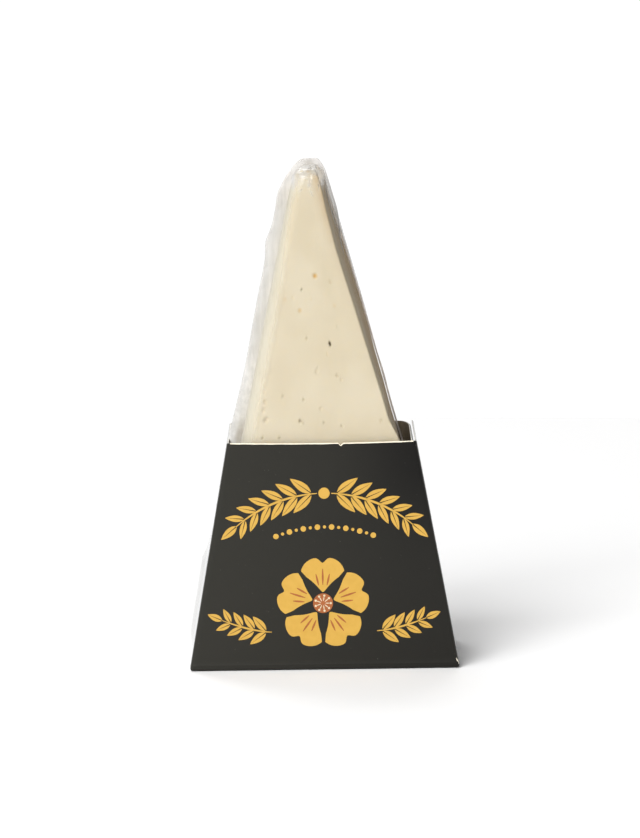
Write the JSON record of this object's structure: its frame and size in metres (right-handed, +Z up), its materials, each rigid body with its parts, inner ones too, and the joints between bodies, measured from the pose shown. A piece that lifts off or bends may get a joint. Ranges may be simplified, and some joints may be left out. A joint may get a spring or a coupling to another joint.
{
  "type": "vacuum-packed wedge of aged almond cheese in a card sleeve",
  "caption": "Tall cream cheese wedge in clear vacuum film, standing tip up in a tapered black card sleeve that is open at the top.",
  "frame": {"origin": "middle of the sleeve's underside, on the surface that it stands on", "axes": "+Z up towards the wedge's tip, +Y from the printed front to the back, +X to the right seen from the front"},
  "size_m": [0.0605, 0.042, 0.112],
  "materials": {
    "black_card": "coated satin black board with gold print and white cut edges",
    "cheese": "smooth cream cheese with small eyes and almond specks",
    "film": "clear glossy vacuum film, milky where it is crumpled or doubled"
  },
  "bodies": {
    "root": {"card_sleeve": "black_card", "wrapped_wedge": "cheese"}
  },
  "joints": []
}
